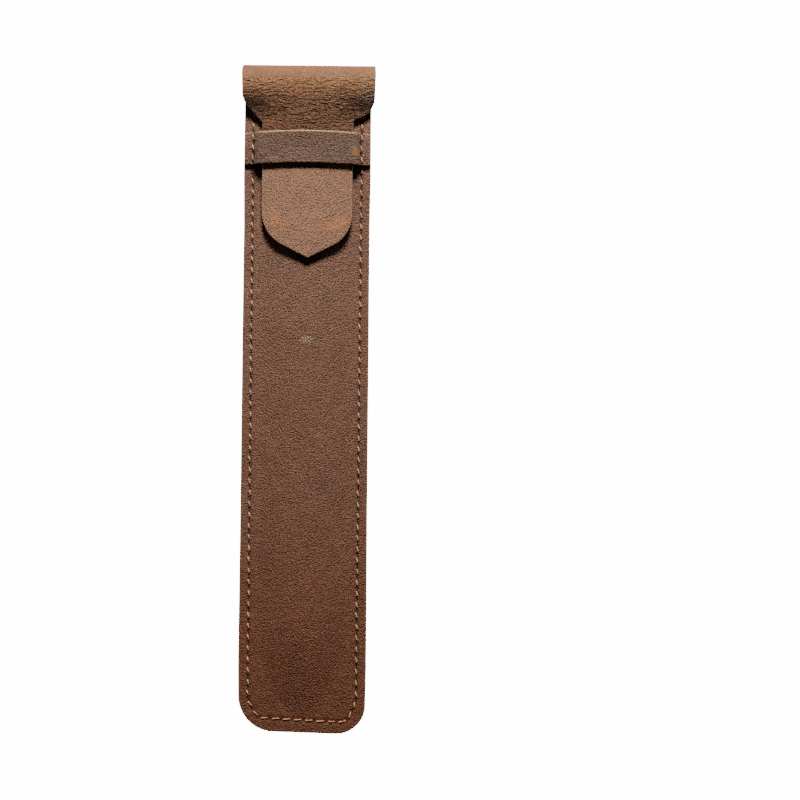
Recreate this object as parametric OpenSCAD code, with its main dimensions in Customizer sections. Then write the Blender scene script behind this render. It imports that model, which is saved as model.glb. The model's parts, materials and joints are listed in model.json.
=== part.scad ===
// Pen case: a flat sewn leather sleeve. The back piece runs on over the top as a flap,
// and the flap's tongue is tucked under a keeper strap that is sewn across the front.
// The case lies on its back: X is across, +Y towards the fold, +Z up through the front.

/* [Case] */
// Length from the outermost line of the fold to the bottom edge
case_l = 180; // [120:1:240]
// Width of the sewn body
body_w = 34; // [30:0.5:60]
// Radius of the two bottom corners
bottom_r = 9; // [5:0.5:12]
// Thickness of every piece of leather
leather_t = 1.5; // [1:0.1:2]

/* [Pocket] */
// Height of the front panel's crown above the seam, inside
front_rise = 3.2; // [2:0.1:6]
// Depth of the back panel's flat bed below the seam
back_sag = 1.6; // [0.5:0.1:3]
// Width of the sloping strip between the bed and the seam
bed_slope_w = 5; // [3:0.5:7]
// Flat land between the pocket and the upright sides of the keeper strap
side_land = 0.6; // [0.4:0.1:2]
// Flat land between the bottom stitches and the pocket
bottom_land = 1.6; // [1:0.1:3]
// Distance from the mouth of the pocket to the start of the fold
mouth_gap = 1.7; // [0.5:0.1:5]

/* [Flap] */
// How far the flap stands out past each side of the body
flap_over = 1; // [0:0.1:3]
// Air between the front panel and the flap
flap_gap = 0.3; // [0.2:0.05:1]
// Number of bending lines round the fold
fold_lines = 4; // [3:1:6]
// Air round each bending line
fold_gap = 0.05; // [0.03:0.01:0.1]
// Distance from the fold to where the shoulders start to curve in
shoulder_drop = 6.8; // [6:0.1:12]
// Radius of the shoulders
shoulder_r = 7.9; // [6:0.1:14]

/* [Tongue] */
// Distance from the fold to where the sides curve towards the point
tongue_drop = 39; // [36:0.1:60]
// Radius of the tongue's rounded sides
tip_r = 9.8; // [8:0.1:12]
// Angle that the rounded sides turn through before the straight point
tip_turn = 62; // [50:1:75]
// Length of the straight point past the rounded sides
tip_l = 3.7; // [1:0.1:5]

/* [Keeper] */
// Width of the keeper strap
strap_w = 8.7; // [6:0.1:16]
// Distance from the fold to the strap's upper edge
strap_drop = 17.5; // [17:0.1:24]
// Air between the strap and the tongue that slides under it
strap_gap = 0.3; // [0.2:0.05:1]
// Air between the strap's upright sides and the stitches beside them
strap_seam_gap = 0.1; // [0.05:0.05:1]

/* [Seam] */
// Distance from the side edges to the stitches
stitch_inset = 2.4; // [1.5:0.1:4]
// Distance from the bottom edge to the stitches
bottom_inset = 3.4; // [2:0.1:5]
// Radius of the seam at the two bottom corners
seam_r = 4.5; // [3:0.1:8]
// Distance from one stitch hole to the next
stitch_pitch = 3; // [2.4:0.1:5]
// Diameter of the thread
thread_d = 0.6; // [0.5:0.05:0.7]
// Diameter of the thread where the holes squeeze it
squeezed_d = 0.5; // [0.3:0.05:0.5]
// Diameter of the stitch holes
hole_d = 0.8; // [0.6:0.05:1]

/* [Hidden] */
$fn = 96;
past = 1; // how far a cutter runs past what it cuts

// Heights: the bed of the back panel lies on z = 0
seam_z = back_sag + leather_t;
flange_z = seam_z + leather_t;
flap_z = flange_z + front_rise + flap_gap;

// The front panel is part of a cylinder along Y, closed at the bottom by part of a sphere
seam_x = body_w / 2 - stitch_inset;
upright_x = seam_x - hole_d / 2 - strap_seam_gap - leather_t;
pocket_half_w = upright_x - side_land;
crown_r = (pow(pocket_half_w, 2) + pow(front_rise, 2)) / (2 * front_rise);
crown_z = seam_z + front_rise - crown_r;
bed_half_w = pocket_half_w - bed_slope_w;

// The fold: bending lines at the corners of half a regular polygon
turn = 180 / fold_lines;
fold_r = flap_z / 2;
fold_z = fold_r + leather_t / 2;
top_y = case_l / 2;
bottom_y = -case_l / 2;
fold_y = top_y - fold_r - leather_t / 2;
link_l = 2 * fold_r * tan(turn / 2);
mouth_y = fold_y - mouth_gap;

// Along the case
seam_bottom_y = bottom_y + bottom_inset;
pocket_end_y = seam_bottom_y + bottom_land + pocket_half_w;
strap_top_y = top_y - strap_drop;
strap_bottom_y = strap_top_y - strap_w;
shoulder_y = top_y - shoulder_drop;
flap_w = body_w + 2 * flap_over;
tongue_w = 2 * (upright_x - strap_gap);
shoulder_turn = acos(1 - (flap_w - tongue_w) / 2 / shoulder_r);
neck_y = shoulder_y - shoulder_r * sin(shoulder_turn);
tongue_y = top_y - tongue_drop;

// The seam runs down one side, round the bottom and up the other side
seam_top_y = mouth_y - stitch_inset;
side_run = seam_top_y - seam_bottom_y - seam_r;
corner_run = PI / 2 * seam_r;
bottom_run = 2 * (seam_x - seam_r);
seam_run = 2 * side_run + 2 * corner_run + bottom_run;
stitches = round(seam_run / stitch_pitch);

// The point on the seam at a distance s along it
function seam_at(s) =
    s <= side_run ? [-seam_x, seam_top_y - s]
    : s <= side_run + corner_run ?
        let (a = 180 + (s - side_run) / seam_r * 180 / PI)
        [-seam_x + seam_r + seam_r * cos(a), seam_bottom_y + seam_r + seam_r * sin(a)]
    : s <= side_run + corner_run + bottom_run / 2 ?
        [-seam_x + seam_r + s - side_run - corner_run, seam_bottom_y]
    : let (p = seam_at(seam_run - s)) [-p[0], p[1]];

function hole(i) = seam_at(i * seam_run / stitches);

// Whether a stitch hole goes through the keeper strap
function in_strap(i) = hole(i)[1] < strap_top_y && hole(i)[1] > strap_bottom_y;

// A copy of an open line of points, moved sideways by d to its left
function beside(line, d) = [
    for (i = [0 : len(line) - 1])
    let (
        before = line[i] - line[max(i - 1, 0)],
        after = line[min(i + 1, len(line) - 1)] - line[i],
        a = i == 0 ? after / norm(after) : before / norm(before),
        b = i == len(line) - 1 ? a : after / norm(after),
        n = [-(a + b)[1], (a + b)[0]]
    )
    line[i] + n * 2 * d / (n * n)
];

function backwards(line) = [for (i = [len(line) - 1 : -1 : 0]) line[i]];

function mirrored(line) = [for (p = backwards(line)) [-p[0], p[1]]];

// A section drawn in X and Z, run along Y
module along_y(y1, y2) {
    translate([0, y2, 0]) rotate([90, 0, 0]) linear_extrude(y2 - y1) children();
}

// A half section drawn in X and Z, turned into the rounded end of the pocket
module round_end() {
    translate([0, pocket_end_y, 0]) rotate([0, 0, 180]) rotate_extrude(angle = 180) children();
}

module body_outline() {
    translate([-body_w / 2, bottom_y + bottom_r])
        square([body_w, mouth_y - bottom_y - bottom_r]);
    translate([-body_w / 2 + bottom_r, bottom_y]) square([body_w - 2 * bottom_r, 2 * bottom_r]);
    for (side = [-1, 1])
        translate([side * (body_w / 2 - bottom_r), bottom_y + bottom_r]) circle(bottom_r);
}

module stitch_holes(z1, z2) {
    for (i = [0 : stitches])
        translate([hole(i)[0], hole(i)[1], z1]) cylinder(h = z2 - z1, d = hole_d, $fn = 24);
}

// Front panel: a flat sewn margin round a crowned middle, open at the mouth
module crown_section(r) {
    intersection() {
        translate([0, crown_z]) circle(r);
        translate([0, seam_z]) square([body_w, crown_r]);
    }
}

module crown(r, over) {
    along_y(pocket_end_y, mouth_y + over) {
        crown_section(r);
        mirror([1, 0]) crown_section(r);
    }
    round_end() crown_section(r);
}

module front_panel() {
    color("#6f4b37") difference() {
        union() {
            translate([0, 0, seam_z]) linear_extrude(leather_t) body_outline();
            crown(crown_r + leather_t, 0);
        }
        crown(crown_r, past);
        stitch_holes(seam_z - past, flange_z + past);
    }
}

// Back panel: the same margin round a flat bed that the case lies on, and the start of the fold
bed_line = [[bed_half_w, 0], [pocket_half_w, back_sag]];
bed_top = beside(concat([[0, 0]], bed_line, [[body_w / 2, back_sag]]), leather_t);

module bed_section(line) {
    polygon(concat([[0, line[0][1]]], line, [[0, line[len(line) - 1][1]]]));
}

module bed(line, over) {
    along_y(pocket_end_y, mouth_y + over) {
        bed_section(line);
        mirror([1, 0]) bed_section(line);
    }
    round_end() bed_section(line);
}

module back_panel() {
    color("#6a4634") {
        difference() {
            union() {
                translate([0, 0, back_sag]) linear_extrude(leather_t) body_outline();
                bed(bed_line, 0);
            }
            bed([bed_top[1], bed_top[2]], past);
            stitch_holes(back_sag - past, seam_z + past);
        }
        bend_plate(hinge(1)[1] - mouth_y, [0, mouth_y, leather_t / 2]);
    }
}

// Keeper strap: sewn down at both ends, and bowed over the tongue
strap_inner_r = crown_r + leather_t + flap_gap + leather_t + strap_gap;

// The height of the strap's underside over the tongue, at a distance x from the middle
function strap_under(x) = crown_z + sqrt(pow(strap_inner_r, 2) - pow(x, 2));

strap_half = concat(
    [[body_w / 2, flange_z], [upright_x, flange_z]],
    [for (i = [0 : 9]) let (x = upright_x * (1 - i / 10)) [x, strap_under(x)]]
);
strap_line = concat(strap_half, [[0, strap_under(0)]], mirrored(strap_half));

module keeper_strap() {
    color("#745848") difference() {
        along_y(strap_bottom_y, strap_top_y)
            polygon(concat(strap_line, backwards(beside(strap_line, -leather_t))));
        stitch_holes(flange_z - past, flange_z + leather_t + past);
    }
}

// Fold: strips of the back piece's own leather, each with one round edge that the next one turns on
function hinge(k) = let (a = (k - 0.5) * turn, r = fold_r / cos(turn / 2))
    [0, fold_y + r * sin(a), fold_z - r * cos(a)];

// A plate of length l along +Y whose far edge is round
module bend_plate(l, at) {
    translate(at) {
        translate([-flap_w / 2, 0, -leather_t / 2]) cube([flap_w, l, leather_t]);
        translate([-flap_w / 2, l, 0]) rotate([0, 90, 0]) cylinder(h = flap_w, d = leather_t, $fn = 48);
    }
}

// What is cut from a strip's near edge, so that it turns round the strip before it
module bend_socket() {
    translate([-flap_w / 2 - past, 0, 0]) rotate([0, 90, 0])
        cylinder(h = flap_w + 2 * past, r = leather_t / 2 + fold_gap, $fn = 48);
    rotate([-turn, 0, 0])
        translate([-flap_w / 2 - past, -link_l, -leather_t / 2 - fold_gap])
            cube([flap_w + 2 * past, link_l, leather_t + 2 * fold_gap]);
}

module fold_strip(k) {
    color("#a5744f") translate(hinge(k)) rotate([k * turn, 0, 0]) difference() {
        bend_plate(link_l, [0, 0, 0]);
        bend_socket();
    }
}

// Flap: shoulders as wide as the fold, then a tongue with a pointed end
shoulder_arc = [
    for (i = [0 : 12]) let (a = i / 12 * shoulder_turn)
    [flap_w / 2 - shoulder_r * (1 - cos(a)), shoulder_y - shoulder_r * sin(a)]
];
tip_arc = [
    for (i = [0 : 12]) let (a = i / 12 * tip_turn)
    [tongue_w / 2 - tip_r * (1 - cos(a)), tongue_y - tip_r * sin(a)]
];
tip_y = tip_arc[12][1] - tip_l;

module flap_shoulders() {
    half = concat([[flap_w / 2, hinge(fold_lines)[1]]], shoulder_arc);
    color("#7d5540") difference() {
        translate([0, 0, flap_z]) linear_extrude(leather_t) polygon(concat(half, mirrored(half)));
        translate(hinge(fold_lines)) rotate([180, 0, 0]) bend_socket();
    }
}

module flap_tongue() {
    half = concat([[tongue_w / 2, neck_y]], tip_arc, [[0, tip_y]]);
    color("#8d6a55") intersection() {
        linear_extrude(flap_z + 2 * leather_t) polygon(concat(half, mirrored(half)));
        along_y(tip_y - past, neck_y) difference() {
            translate([0, crown_z]) circle(crown_r + 2 * leather_t + flap_gap);
            translate([0, crown_z]) circle(crown_r + leather_t + flap_gap);
        }
    }
}

// Thread: the needle thread lies on the front, the bobbin thread on the back, and they
// meet in each hole at the seam
module stitch(i) {
    step = hole(i + 1) - hole(i);
    translate(hole(i)) rotate(atan2(step[1], step[0]))
        translate([0, -thread_d / 2]) square([norm(step), thread_d]);
    for (end = [i, i + 1]) translate(hole(end)) circle(d = hole_d, $fn = 8);
}

module thread_leg(i, z1, z2) {
    translate([hole(i)[0], hole(i)[1], z1]) cylinder(h = z2 - z1, d = squeezed_d, $fn = 8);
}

module needle_thread() {
    raised = [for (i = [0 : stitches - 1]) if (in_strap(i) || in_strap(i + 1)) i];
    flat = [for (i = [0 : stitches - 1]) if (!in_strap(i) && !in_strap(i + 1)) i];
    color("#b0764f") {
        translate([0, 0, flange_z]) linear_extrude(thread_d) for (i = flat) stitch(i);
        translate([0, 0, flange_z + leather_t]) linear_extrude(thread_d)
            for (i = raised) stitch(i);
        for (i = flat) for (end = [i, i + 1]) thread_leg(end, seam_z, flange_z + thread_d);
        for (i = raised) for (end = [i, i + 1])
            thread_leg(end, seam_z, flange_z + leather_t + thread_d);
    }
}

module bobbin_thread() {
    color("#b0764f") {
        translate([0, 0, back_sag - thread_d]) linear_extrude(thread_d)
            for (i = [0 : stitches - 1]) stitch(i);
        for (i = [0 : stitches]) thread_leg(i, back_sag - thread_d, seam_z);
    }
}

back_panel();
front_panel();
keeper_strap();
needle_thread();
bobbin_thread();
for (i = [1 : fold_lines - 1])
    fold_strip(i);
flap_shoulders();
flap_tongue();
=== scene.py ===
import json
import math

import bpy
import numpy as np
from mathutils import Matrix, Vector, geometry

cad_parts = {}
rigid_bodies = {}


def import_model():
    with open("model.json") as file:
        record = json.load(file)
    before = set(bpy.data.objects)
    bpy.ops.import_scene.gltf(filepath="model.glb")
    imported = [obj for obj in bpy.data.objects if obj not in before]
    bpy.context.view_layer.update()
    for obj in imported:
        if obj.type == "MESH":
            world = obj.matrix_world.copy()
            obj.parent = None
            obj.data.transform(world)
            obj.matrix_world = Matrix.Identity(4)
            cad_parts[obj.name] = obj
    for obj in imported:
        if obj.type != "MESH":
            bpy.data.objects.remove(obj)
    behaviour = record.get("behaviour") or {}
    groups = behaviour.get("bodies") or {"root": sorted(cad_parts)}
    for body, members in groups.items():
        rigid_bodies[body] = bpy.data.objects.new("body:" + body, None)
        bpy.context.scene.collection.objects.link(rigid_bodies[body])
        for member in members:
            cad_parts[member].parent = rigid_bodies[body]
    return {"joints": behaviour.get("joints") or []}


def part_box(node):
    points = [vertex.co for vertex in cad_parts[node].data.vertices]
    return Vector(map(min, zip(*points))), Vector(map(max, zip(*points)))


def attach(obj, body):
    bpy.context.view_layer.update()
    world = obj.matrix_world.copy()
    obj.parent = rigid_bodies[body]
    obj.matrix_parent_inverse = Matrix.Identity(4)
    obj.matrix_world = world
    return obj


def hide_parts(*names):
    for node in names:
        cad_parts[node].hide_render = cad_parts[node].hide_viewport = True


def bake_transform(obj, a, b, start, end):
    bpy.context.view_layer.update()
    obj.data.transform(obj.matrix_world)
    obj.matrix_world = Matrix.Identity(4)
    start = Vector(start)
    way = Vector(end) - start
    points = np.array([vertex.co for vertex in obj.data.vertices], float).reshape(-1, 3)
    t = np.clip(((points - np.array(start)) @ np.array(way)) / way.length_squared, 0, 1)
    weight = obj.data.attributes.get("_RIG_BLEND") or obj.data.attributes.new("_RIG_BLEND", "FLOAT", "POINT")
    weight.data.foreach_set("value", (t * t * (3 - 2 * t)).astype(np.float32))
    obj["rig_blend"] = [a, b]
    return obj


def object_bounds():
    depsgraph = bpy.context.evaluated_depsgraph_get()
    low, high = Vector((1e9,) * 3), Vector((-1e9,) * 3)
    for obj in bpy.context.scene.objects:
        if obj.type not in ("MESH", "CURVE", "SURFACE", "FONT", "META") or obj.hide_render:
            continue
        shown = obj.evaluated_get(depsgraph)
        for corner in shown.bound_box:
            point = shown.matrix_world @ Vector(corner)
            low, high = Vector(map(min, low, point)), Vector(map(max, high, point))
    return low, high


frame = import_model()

bl_info = {
    "name": "Leather pen case",
    "version": (1, 0, 0),
    "blender": (4, 5, 0),
    "location": "3D View > Sidebar > Pen case",
    "description": "Makes a hand-sewn leather pen case with a folded flap and a keeper strap",
    "category": "Add Mesh",
}

# Sizes in this script are in millimetres, and the meshes in metres
MM = 0.001
CAD_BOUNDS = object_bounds()


# ---------------------------------------------------------------- sizes, in millimetres

def node_box(node):
    """The lowest and highest corners of a node, in millimetres."""
    low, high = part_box(node)
    return np.array(low) / MM, np.array(high) / MM


FRONT_LOW, FRONT_HIGH = node_box("front_panel")
STRAP_LOW, STRAP_HIGH = node_box("keeper_strap")
TONGUE_LOW, TONGUE_HIGH = node_box("flap_tongue")
SHOULDER_LOW, SHOULDER_HIGH = node_box("flap_shoulders")
BENDS = [j for j in frame["joints"] if j["name"].startswith("bend_")]

LEATHER = SHOULDER_HIGH[2] - SHOULDER_LOW[2]
HALF_BODY = FRONT_HIGH[0]
HALF_FLAP = SHOULDER_HIGH[0]
HALF_TONGUE = TONGUE_HIGH[0]
BOTTOM = FRONT_LOW[1]
MOUTH = FRONT_HIGH[1]
TOP = CAD_BOUNDS[1][1] / MM
SEAM_Z = FRONT_LOW[2]
CROWN_TOP = FRONT_HIGH[2]
STRAP_MIDDLE = (STRAP_LOW[1] + STRAP_HIGH[1]) / 2

# The crown of the pocket leaves room for the leather's slow waves
CROWN = CROWN_TOP - 0.3
WAVE_HEIGHT = 0.16

# The pocket's dome starts inside the seam, and its lower end is drawn out
POCKET_MARGIN = 2.4
POCKET_LOW_MARGIN = 1.6
POCKET_TAPER = 2.3

# The sewn margin comes down flat over this length before the fold
MARGIN_RAMP = 20

# How far along the pocket the strap's press is felt
STRAP_PRESS_REACH = 8.5

# The fold's middle surface is half a circle, and each bend stands for an equal part of it
FOLD_R = (BENDS[-1]["pos_m"][2] - BENDS[0]["pos_m"][2]) / MM / 2
FOLD_Z = BENDS[0]["pos_m"][2] / MM + FOLD_R
FOLD_Y = TOP - FOLD_R - LEATHER / 2
FOLD_TURN = math.pi / len(BENDS)
FLAT_FOLD_END = FOLD_Y + math.pi * FOLD_R

# Where the flap swells, comes down on the pocket and springs up at its tip, by how far each
# place hangs below the fold's top, and how much its shoulders droop
SWELL_AT, SWELL_REACH = 9.5, 4.6
LANDS_FROM, LANDS_TO = 5.5, 17
SPRINGS_FROM, SPRINGS_OVER = 28, 23
DROOP = 3.5
RIPPLE_HEIGHT = 0.1

# How closely the flap follows the dome's sides, and how far it stays off them
FOLLOW, FOLLOW_SHOULDER, FOLLOW_TIP = 0.72, 0.16, 0.08
FLAP_GAP, SHOULDER_DIP = 0.35, 0.2

# The strap: how far it bows, how far it stays off the tongue, and where it comes down beside it
STRAP_BOW = 0.7
STRAP_GAP = 0.4
STRAP_REST = 0.02
STRAP_DOWN_FROM, STRAP_DOWN_TO = 0.5, 3.0

# The thread pulls the leather into a groove that is deeper at each hole
GROOVE_DEPTH, GROOVE_WIDTH = 0.22, 0.55
HOLE_DEPTH, HOLE_WIDTH = 0.25, 0.38

# How far apart the seam's own points are
SEAM_STEP = 0.5

# The mesh of a cut piece: rings of points inside its edge, room left beside them and beside the
# cross lines, and points on each cross line
RIM_DEPTHS = (0, 0.1, 0.28, 0.62)
RIM_CLEAR = 0.22
LINE_CLEAR = 0.12
LINE_POINTS = 70

# How far the raw edge wanders, how high the grain's pebbles are, and the step that slopes use
EDGE_WANDER = 0.05
PEBBLE_HEIGHT = 0.02
SLOPE_STEP = 0.05


def flat_y(drop):
    """Where a point of the flap lies on the flat hide, from how far it hangs below the fold."""
    return FLAT_FOLD_END + drop - (TOP - FOLD_Y)


def smooth(low, high, value):
    """A smooth step from 0 at low to 1 at high, or back down if high is the smaller."""
    t = np.clip((value - low) / (high - low), 0, 1)
    return t * t * (3 - 2 * t)


def bump(middle, reach, value):
    """A smooth hill, 1 at its middle and 0 past its reach."""
    return smooth(reach, 0, np.abs(value - middle))


# ---------------------------------------------------------------- settings

def srgb(red, green, blue):
    """A linear colour from 0 to 255 display values."""
    def linear(value):
        value /= 255
        return value / 12.92 if value <= 0.04045 else ((value + 0.055) / 1.055) ** 2.4
    return linear(red), linear(green), linear(blue)


class PENCASE_PG_shape(bpy.types.PropertyGroup):
    dome_power: bpy.props.FloatProperty(
        name="Dome shape", description="How square the pocket's dome is", default=2.1)
    strap_dip: bpy.props.FloatProperty(
        name="Strap dip", description="How far the strap presses the pocket down, in mm", default=0.9)
    fold_swell: bpy.props.FloatProperty(
        name="Fold swell", description="How far the flap stands up just past the fold, in mm", default=0.15)
    tip_lift: bpy.props.FloatProperty(
        name="Tip lift", description="How far the tongue's tip springs up, in mm", default=0.45)
    wrinkle: bpy.props.FloatProperty(
        name="Wrinkle depth", description="Height of the flap's wrinkles, in mm", default=0.06)
    edge_r: bpy.props.FloatProperty(
        name="Edge rounding", description="Radius of the leather's cut edges, in mm", default=0.3)
    stitch_inset: bpy.props.FloatProperty(
        name="Stitch inset", description="Distance from the side edges to the seam, in mm", default=2.4)
    bottom_inset: bpy.props.FloatProperty(
        name="Bottom inset", description="Distance from the bottom edge to the seam, in mm", default=3.4)
    seam_corner: bpy.props.FloatProperty(
        name="Seam corner", description="How far up the sides the seam's corners reach, in mm", default=5.8)
    stitch_pitch: bpy.props.FloatProperty(
        name="Stitch pitch", description="Distance from hole to hole, in mm", default=3.0)
    thread_r: bpy.props.FloatProperty(
        name="Thread radius", description="Radius of the sewing thread, in mm", default=0.25)


class PENCASE_PG_finish(bpy.types.PropertyGroup):
    front: bpy.props.FloatVectorProperty(
        name="Front", description="Colour of the front near the strap", subtype="COLOR",
        default=srgb(113, 78, 58))
    front_low: bpy.props.FloatVectorProperty(
        name="Front, low", description="Colour of the front near the bottom", subtype="COLOR",
        default=srgb(94, 49, 20))
    fold: bpy.props.FloatVectorProperty(
        name="Fold", description="Colour of the leather stretched over the fold", subtype="COLOR",
        default=srgb(140, 80, 39))
    crease: bpy.props.FloatVectorProperty(
        name="Crease", description="Colour of the flap where its wrinkles start", subtype="COLOR",
        default=srgb(125, 85, 53))
    flap: bpy.props.FloatVectorProperty(
        name="Flap", description="Colour of the creased flap", subtype="COLOR",
        default=srgb(91, 59, 36))
    tongue: bpy.props.FloatVectorProperty(
        name="Tongue", description="Colour of the rubbed tongue", subtype="COLOR",
        default=srgb(134, 95, 70))
    strap: bpy.props.FloatVectorProperty(
        name="Strap", description="Colour of the keeper strap", subtype="COLOR",
        default=srgb(97, 71, 55))
    back: bpy.props.FloatVectorProperty(
        name="Back", description="Colour of the back panel", subtype="COLOR",
        default=srgb(108, 70, 50))
    flesh: bpy.props.FloatVectorProperty(
        name="Flesh side", description="Colour of the leather's inside", subtype="COLOR",
        default=srgb(134, 96, 68))
    fibre: bpy.props.FloatVectorProperty(
        name="Fibre", description="Colour of the cut edge's loose fibres", subtype="COLOR",
        default=srgb(226, 186, 138))
    scuff: bpy.props.FloatVectorProperty(
        name="Scuff", description="Colour of scratches and rubbed spots", subtype="COLOR",
        default=srgb(178, 112, 62))
    scar: bpy.props.FloatVectorProperty(
        name="Scar", description="Colour of the small healed scar's flecks", subtype="COLOR",
        default=srgb(196, 182, 158))
    thread: bpy.props.FloatVectorProperty(
        name="Thread", description="Colour of the sewing thread", subtype="COLOR",
        default=srgb(222, 150, 108))


def shape():
    """The size settings."""
    return bpy.context.scene.pencase_shape


def finish():
    """The colour settings."""
    return bpy.context.scene.pencase_finish


# ---------------------------------------------------------------- noise for shapes

def value_noise(x, y, seed):
    """Smooth noise from -1 to 1 on a lattice of whole numbers."""
    table = np.random.default_rng(seed).uniform(-1, 1, (256, 256))
    x0, y0 = np.floor(x).astype(int), np.floor(y).astype(int)
    u, v = x - x0, y - y0
    u, v = u * u * (3 - 2 * u), v * v * (3 - 2 * v)
    a, b = table[x0 % 256, y0 % 256], table[(x0 + 1) % 256, y0 % 256]
    c, d = table[x0 % 256, (y0 + 1) % 256], table[(x0 + 1) % 256, (y0 + 1) % 256]
    return (a * (1 - u) + b * u) * (1 - v) + (c * (1 - u) + d * u) * v


def layered_noise(x, y, seed, layers=3):
    """Noise with finer layers added, from about -1 to 1."""
    total = 0
    for i in range(layers):
        total = total + value_noise(x * 2 ** i, y * 2 ** i, seed + i) / 2 ** i
    return total / 1.6


# ---------------------------------------------------------------- the shape of the case

def seam_height(y):
    """How far the sewn margin stands above the bed: it comes down flat towards the fold."""
    return (SEAM_Z - LEATHER) * smooth(FOLD_Y, FOLD_Y - MARGIN_RAMP, y)


def seam_x():
    """How far the side seams lie from the middle."""
    return HALF_BODY - shape().stitch_inset


def pocket_share(x, y):
    """0 on the pocket's middle line and 1 at its edge, with a round lower end."""
    half = seam_x() - POCKET_MARGIN
    end = BOTTOM + shape().bottom_inset + POCKET_LOW_MARGIN + half * POCKET_TAPER
    return np.hypot(x, np.minimum(y - end, 0) / POCKET_TAPER) / half


def back_under(x, y):
    """The height of the back panel's outer face."""
    return seam_height(y) * smooth(0.5, 1.04, pocket_share(x, y))


def strap_press(y):
    """How far the strap holds the pocket and the tongue down."""
    return shape().strap_dip * np.exp(-((y - STRAP_MIDDLE) / STRAP_PRESS_REACH) ** 2)


def front_top(x, y):
    """The height of the front panel's outer face."""
    flange = seam_height(y) + 2 * LEATHER
    share = pocket_share(x, y)
    dome = np.clip(1 - share ** shape().dome_power, 0, 1) ** 1.5
    waves = WAVE_HEIGHT * layered_noise(x / 16 + 7, y / 21, 11) * smooth(1, 0.6, share)
    return flange + (CROWN - flange - strap_press(y)) * dome + waves


def flap_middle(x, y):
    """The height of the flap's middle surface below the fold."""
    drop = TOP - y
    level = FOLD_Z + FOLD_R + shape().fold_swell * bump(SWELL_AT, SWELL_REACH, drop)
    hugged = CROWN - strap_press(y)
    bend = hugged - front_top(x, y)
    shoulder = smooth(9, 15, np.abs(x)) * smooth(6, 13, drop) * smooth(24, 18, drop)
    follow = FOLLOW + FOLLOW_SHOULDER * shoulder - FOLLOW_TIP * smooth(30, 48, drop)
    lying = hugged - follow * bend + FLAP_GAP - SHOULDER_DIP * shoulder + LEATHER / 2
    sprung = shape().tip_lift * np.clip((drop - SPRINGS_FROM) / SPRINGS_OVER, 0, 1) ** 1.6
    ripple = RIPPLE_HEIGHT * layered_noise(x / 13 + 3, y / 11 + 5, 31)
    fallen = drop + DROOP * smooth(6, 20, np.abs(x)) * smooth(5, 15, drop)
    return level + (lying + sprung + ripple - level) * smooth(LANDS_FROM, LANDS_TO, fallen)


def hide_middle(x, s):
    """Where the middle of the hide's thickness lies, from its place on the flat hide."""
    turn = np.clip((s - FOLD_Y) / FOLD_R, 0, math.pi)
    past = np.maximum(s - FLAT_FOLD_END, 0)
    y = np.minimum(s, FOLD_Y) + FOLD_R * np.sin(turn) - past
    on_back = back_under(x, np.minimum(s, FOLD_Y)) + LEATHER / 2
    round_fold = FOLD_Z - FOLD_R * np.cos(turn)
    z = np.where(s < FOLD_Y, on_back, round_fold)
    z = np.where(s > FLAT_FOLD_END, flap_middle(x, y), z)
    return np.stack([x, y, z], -1)


def place_hide(x, s):
    """The hide's middle surface, and the way its grain faces."""
    across = hide_middle(x + SLOPE_STEP, s) - hide_middle(x - SLOPE_STEP, s)
    along = hide_middle(x, s + SLOPE_STEP) - hide_middle(x, s - SLOPE_STEP)
    facing = -np.cross(across, along)
    return hide_middle(x, s), facing / np.linalg.norm(facing, axis=1)[:, None]


def place_top(height):
    """A placing function for a piece whose grain faces up, from the height of its grain."""
    def place(x, y):
        slope_x = (height(x + SLOPE_STEP, y) - height(x - SLOPE_STEP, y)) / (2 * SLOPE_STEP)
        slope_y = (height(x, y + SLOPE_STEP) - height(x, y - SLOPE_STEP)) / (2 * SLOPE_STEP)
        facing = np.stack([-slope_x, -slope_y, np.ones_like(x)], -1)
        facing /= np.linalg.norm(facing, axis=1)[:, None]
        top = np.stack([x, y, height(x, y)], -1)
        return top - facing * LEATHER / 2, facing
    return place


# ---------------------------------------------------------------- outlines on the flat leather

def rounded(corners, step=0.35):
    """A closed outline through corners (x, y, radius), with each corner rounded."""
    points = []
    count = len(corners)
    for i, (x, y, radius) in enumerate(corners):
        here = Vector((x, y))
        back = (Vector(corners[i - 1][:2]) - here).normalized()
        ahead = (Vector(corners[(i + 1) % count][:2]) - here).normalized()
        half = back.angle(ahead) / 2
        if radius == 0 or half > math.radians(89.9):
            points.append(here)
            continue
        reach = radius / math.tan(half)
        centre = here + (back + ahead).normalized() * radius / math.sin(half)
        start, end = here + back * reach - centre, here + ahead * reach - centre
        turn = start.angle_signed(end)
        parts = max(2, round(abs(turn) * radius / step))
        for k in range(parts + 1):
            a = -turn * k / parts
            points.append(centre + Vector((
                start.x * math.cos(a) - start.y * math.sin(a),
                start.x * math.sin(a) + start.y * math.cos(a))))
    even = []
    for a, b in zip(points, points[1:] + points[:1]):
        parts = max(1, round((b - a).length / step))
        if (b - a).length < 1e-4:
            continue
        even += [a.lerp(b, k / parts) for k in range(parts)]
    return np.array([tuple(p) for p in even])


def side_corners(top):
    """The right side of the cut body, from the bottom to the height given, slightly uneven."""
    places = [(-72, 0.26), (-30, 0.1), (15, 0.04), (47, -0.06), (60, 0.1)]
    return [(HALF_BODY + d, y, 60) for y, d in places if y < top - 8]


def body_bottom():
    """The two bottom corners: the left one is rounder and the edge runs a little downhill."""
    return [(-HALF_BODY, BOTTOM + 0.75, 9.8), (HALF_BODY, BOTTOM - 0.1, 7.8)]


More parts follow.
